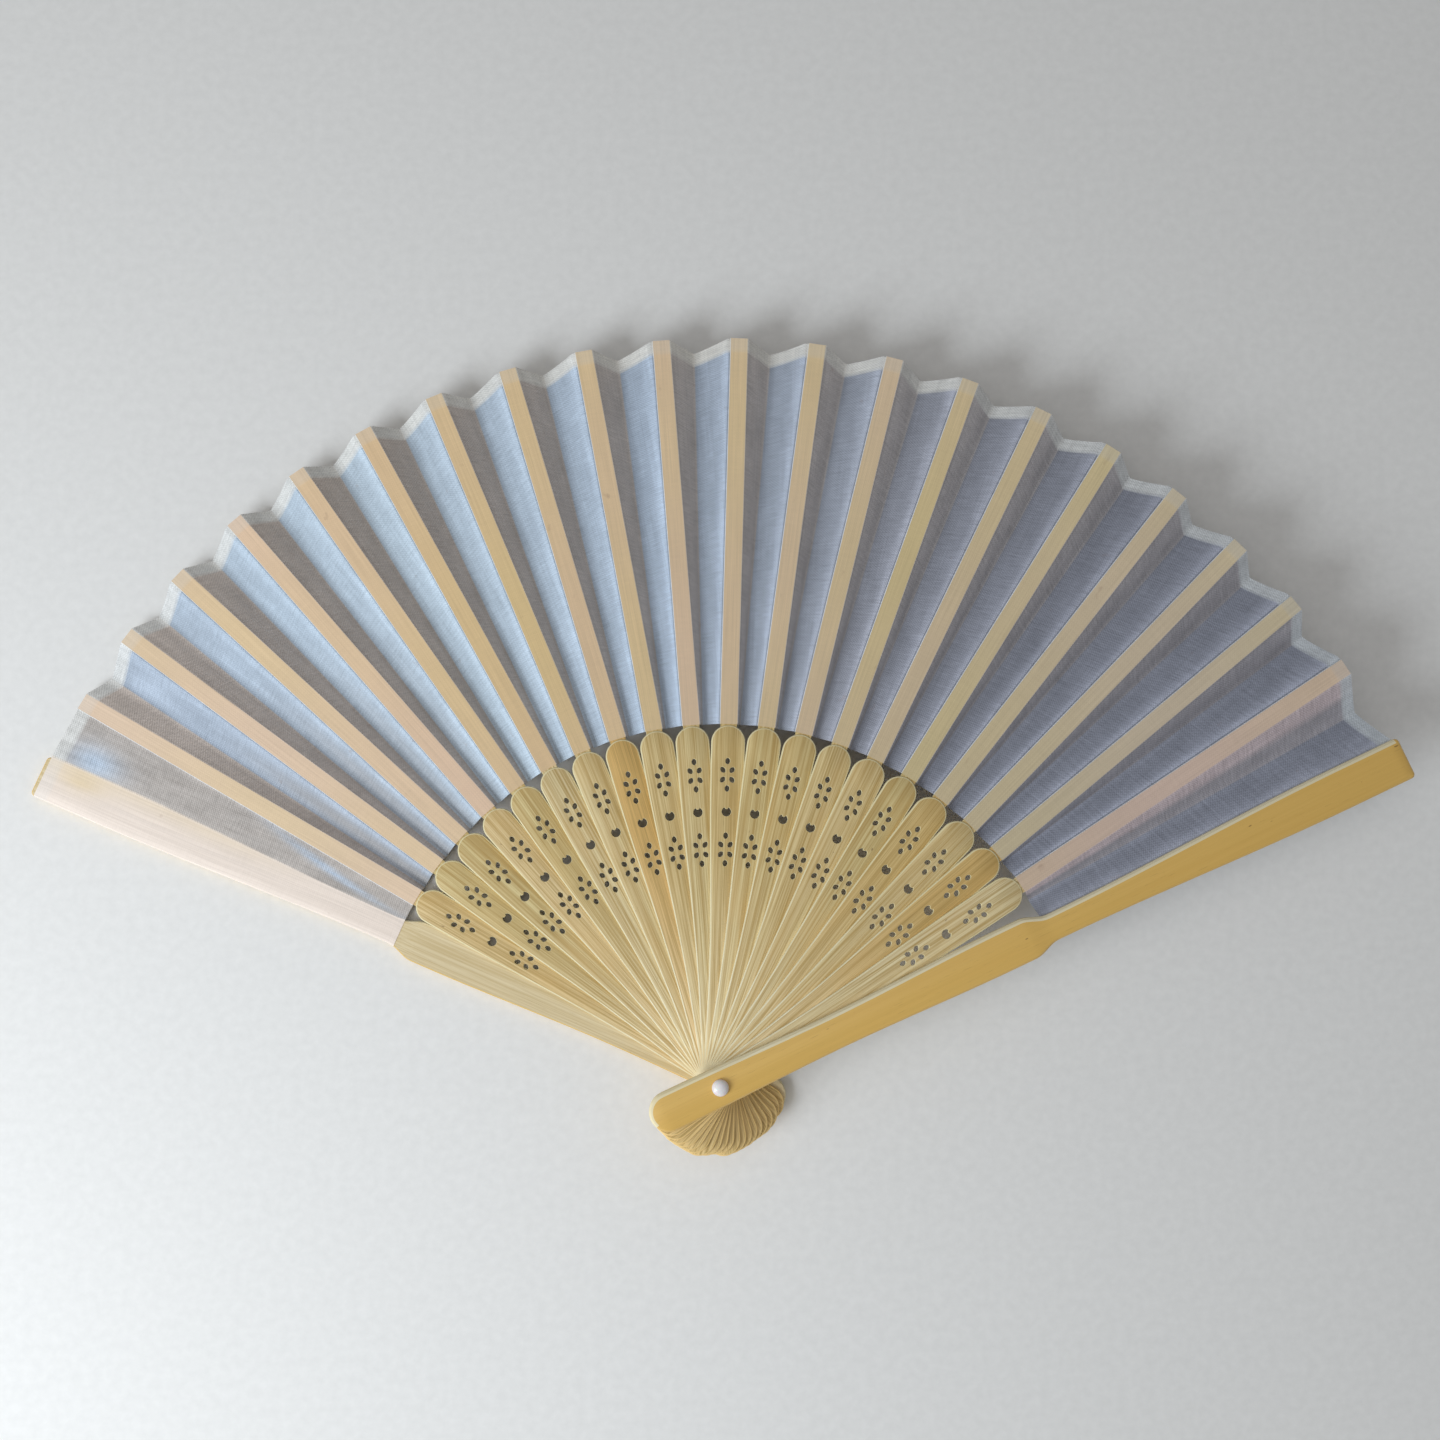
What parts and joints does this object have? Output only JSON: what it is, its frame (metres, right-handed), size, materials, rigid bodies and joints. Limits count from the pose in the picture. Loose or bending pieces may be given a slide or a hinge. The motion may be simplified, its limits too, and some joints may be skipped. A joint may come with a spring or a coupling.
{
  "type": "folding hand fan",
  "caption": "Open folding hand fan: pierced pale bamboo ribs and plain guards turn on one rivet and carry a pleated silky cloth leaf.",
  "frame": {"origin": "on the rivet's axis, in the plane of the rear guard's back face", "axes": "+Z along the rivet out of the fan's front face, +Y from the rivet through the middle of the open leaf, +X towards the front guard's side"},
  "size_m": [0.3528, 0.2092, 0.0245],
  "materials": {
    "guard_bamboo": "smooth pale honey bamboo",
    "rib_bamboo": "planed pale bamboo with fine straight grain",
    "leaf_cloth": "thin plain-woven silky cloth",
    "rivet_plastic": "pearly white"
  },
  "bodies": {
    "rear_guard": {"rear_guard": "guard_bamboo", "rivet_pin": "rivet_plastic", "rivet_cap": "rivet_plastic", "leaf_gore_01": "leaf_cloth"},
    "rib_01": {"rib_01": "rib_bamboo", "leaf_gore_02": "leaf_cloth"},
    "rib_02": {"rib_02": "rib_bamboo", "leaf_gore_03": "leaf_cloth"},
    "rib_03": {"rib_03": "rib_bamboo", "leaf_gore_04": "leaf_cloth"},
    "rib_04": {"rib_04": "rib_bamboo", "leaf_gore_05": "leaf_cloth"},
    "rib_05": {"rib_05": "rib_bamboo", "leaf_gore_06": "leaf_cloth"},
    "rib_06": {"rib_06": "rib_bamboo", "leaf_gore_07": "leaf_cloth"},
    "rib_07": {"rib_07": "rib_bamboo", "leaf_gore_08": "leaf_cloth"},
    "rib_08": {"rib_08": "rib_bamboo", "leaf_gore_09": "leaf_cloth"},
    "rib_09": {"rib_09": "rib_bamboo", "leaf_gore_10": "leaf_cloth"},
    "rib_10": {"rib_10": "rib_bamboo", "leaf_gore_11": "leaf_cloth"},
    "rib_11": {"rib_11": "rib_bamboo", "leaf_gore_12": "leaf_cloth"},
    "rib_12": {"rib_12": "rib_bamboo", "leaf_gore_13": "leaf_cloth"},
    "rib_13": {"rib_13": "rib_bamboo", "leaf_gore_14": "leaf_cloth"},
    "rib_14": {"rib_14": "rib_bamboo", "leaf_gore_15": "leaf_cloth"},
    "rib_15": {"rib_15": "rib_bamboo", "leaf_gore_16": "leaf_cloth"},
    "rib_16": {"rib_16": "rib_bamboo", "leaf_gore_17": "leaf_cloth"},
    "rib_17": {"rib_17": "rib_bamboo", "leaf_gore_18": "leaf_cloth"},
    "rib_18": {"rib_18": "rib_bamboo", "leaf_gore_19": "leaf_cloth"},
    "rib_19": {"rib_19": "rib_bamboo", "leaf_gore_20": "leaf_cloth"},
    "rib_20": {"rib_20": "rib_bamboo", "leaf_gore_21": "leaf_cloth"},
    "front_guard": {"front_guard": "guard_bamboo"}
  },
  "joints": [
    {"name": "hinge_01", "type": "hinge", "parent": "rear_guard", "child": "rib_01", "pos_m": [0, 0, 0], "axis": [0, 0, 1], "range_deg": [0, 7.36], "deforming": ["leaf_gore_01"]},
    {"name": "hinge_02", "type": "hinge", "parent": "rib_01", "child": "rib_02", "pos_m": [0, 0, 0], "axis": [0, 0, 1], "range_deg": [0, 6.13], "deforming": ["leaf_gore_02"]},
    {"name": "hinge_03", "type": "hinge", "parent": "rib_02", "child": "rib_03", "pos_m": [0, 0, 0], "axis": [0, 0, 1], "range_deg": [0, 6.13], "deforming": ["leaf_gore_03"]},
    {"name": "hinge_04", "type": "hinge", "parent": "rib_03", "child": "rib_04", "pos_m": [0, 0, 0], "axis": [0, 0, 1], "range_deg": [0, 6.13], "deforming": ["leaf_gore_04"]},
    {"name": "hinge_05", "type": "hinge", "parent": "rib_04", "child": "rib_05", "pos_m": [0, 0, 0], "axis": [0, 0, 1], "range_deg": [0, 6.13], "deforming": ["leaf_gore_05"]},
    {"name": "hinge_06", "type": "hinge", "parent": "rib_05", "child": "rib_06", "pos_m": [0, 0, 0], "axis": [0, 0, 1], "range_deg": [0, 6.13], "deforming": ["leaf_gore_06"]},
    {"name": "hinge_07", "type": "hinge", "parent": "rib_06", "child": "rib_07", "pos_m": [0, 0, 0], "axis": [0, 0, 1], "range_deg": [0, 6.13], "deforming": ["leaf_gore_07"]},
    {"name": "hinge_08", "type": "hinge", "parent": "rib_07", "child": "rib_08", "pos_m": [0, 0, 0], "axis": [0, 0, 1], "range_deg": [0, 6.13], "deforming": ["leaf_gore_08"]},
    {"name": "hinge_09", "type": "hinge", "parent": "rib_08", "child": "rib_09", "pos_m": [0, 0, 0], "axis": [0, 0, 1], "range_deg": [0, 6.13], "deforming": ["leaf_gore_09"]},
    {"name": "hinge_10", "type": "hinge", "parent": "rib_09", "child": "rib_10", "pos_m": [0, 0, 0], "axis": [0, 0, 1], "range_deg": [0, 6.13], "deforming": ["leaf_gore_10"]},
    {"name": "hinge_11", "type": "hinge", "parent": "rib_10", "child": "rib_11", "pos_m": [0, 0, 0], "axis": [0, 0, 1], "range_deg": [0, 6.13], "deforming": ["leaf_gore_11"]},
    {"name": "hinge_12", "type": "hinge", "parent": "rib_11", "child": "rib_12", "pos_m": [0, 0, 0], "axis": [0, 0, 1], "range_deg": [0, 6.13], "deforming": ["leaf_gore_12"]},
    {"name": "hinge_13", "type": "hinge", "parent": "rib_12", "child": "rib_13", "pos_m": [0, 0, 0], "axis": [0, 0, 1], "range_deg": [0, 6.13], "deforming": ["leaf_gore_13"]},
    {"name": "hinge_14", "type": "hinge", "parent": "rib_13", "child": "rib_14", "pos_m": [0, 0, 0], "axis": [0, 0, 1], "range_deg": [0, 6.13], "deforming": ["leaf_gore_14"]},
    {"name": "hinge_15", "type": "hinge", "parent": "rib_14", "child": "rib_15", "pos_m": [0, 0, 0], "axis": [0, 0, 1], "range_deg": [0, 6.13], "deforming": ["leaf_gore_15"]},
    {"name": "hinge_16", "type": "hinge", "parent": "rib_15", "child": "rib_16", "pos_m": [0, 0, 0], "axis": [0, 0, 1], "range_deg": [0, 6.13], "deforming": ["leaf_gore_16"]},
    {"name": "hinge_17", "type": "hinge", "parent": "rib_16", "child": "rib_17", "pos_m": [0, 0, 0], "axis": [0, 0, 1], "range_deg": [0, 6.13], "deforming": ["leaf_gore_17"]},
    {"name": "hinge_18", "type": "hinge", "parent": "rib_17", "child": "rib_18", "pos_m": [0, 0, 0], "axis": [0, 0, 1], "range_deg": [0, 6.13], "deforming": ["leaf_gore_18"]},
    {"name": "hinge_19", "type": "hinge", "parent": "rib_18", "child": "rib_19", "pos_m": [0, 0, 0], "axis": [0, 0, 1], "range_deg": [0, 6.13], "deforming": ["leaf_gore_19"]},
    {"name": "hinge_20", "type": "hinge", "parent": "rib_19", "child": "rib_20", "pos_m": [0, 0, 0], "axis": [0, 0, 1], "range_deg": [0, 6.13], "deforming": ["leaf_gore_20"]},
    {"name": "hinge_21", "type": "hinge", "parent": "rib_20", "child": "front_guard", "pos_m": [0, 0, 0], "axis": [0, 0, 1], "range_deg": [0, 7.36], "deforming": ["leaf_gore_21"]}
  ],
  "couplings": [
    {"joint": "hinge_01", "follows": "hinge_02", "ratio": 1.2},
    {"joint": "hinge_03", "follows": "hinge_02", "ratio": 1},
    {"joint": "hinge_04", "follows": "hinge_02", "ratio": 1},
    {"joint": "hinge_05", "follows": "hinge_02", "ratio": 1},
    {"joint": "hinge_06", "follows": "hinge_02", "ratio": 1},
    {"joint": "hinge_07", "follows": "hinge_02", "ratio": 1},
    {"joint": "hinge_08", "follows": "hinge_02", "ratio": 1},
    {"joint": "hinge_09", "follows": "hinge_02", "ratio": 1},
    {"joint": "hinge_10", "follows": "hinge_02", "ratio": 1},
    {"joint": "hinge_11", "follows": "hinge_02", "ratio": 1},
    {"joint": "hinge_12", "follows": "hinge_02", "ratio": 1},
    {"joint": "hinge_13", "follows": "hinge_02", "ratio": 1},
    {"joint": "hinge_14", "follows": "hinge_02", "ratio": 1},
    {"joint": "hinge_15", "follows": "hinge_02", "ratio": 1},
    {"joint": "hinge_16", "follows": "hinge_02", "ratio": 1},
    {"joint": "hinge_17", "follows": "hinge_02", "ratio": 1},
    {"joint": "hinge_18", "follows": "hinge_02", "ratio": 1},
    {"joint": "hinge_19", "follows": "hinge_02", "ratio": 1},
    {"joint": "hinge_20", "follows": "hinge_02", "ratio": 1},
    {"joint": "hinge_21", "follows": "hinge_02", "ratio": 1.2}
  ]
}
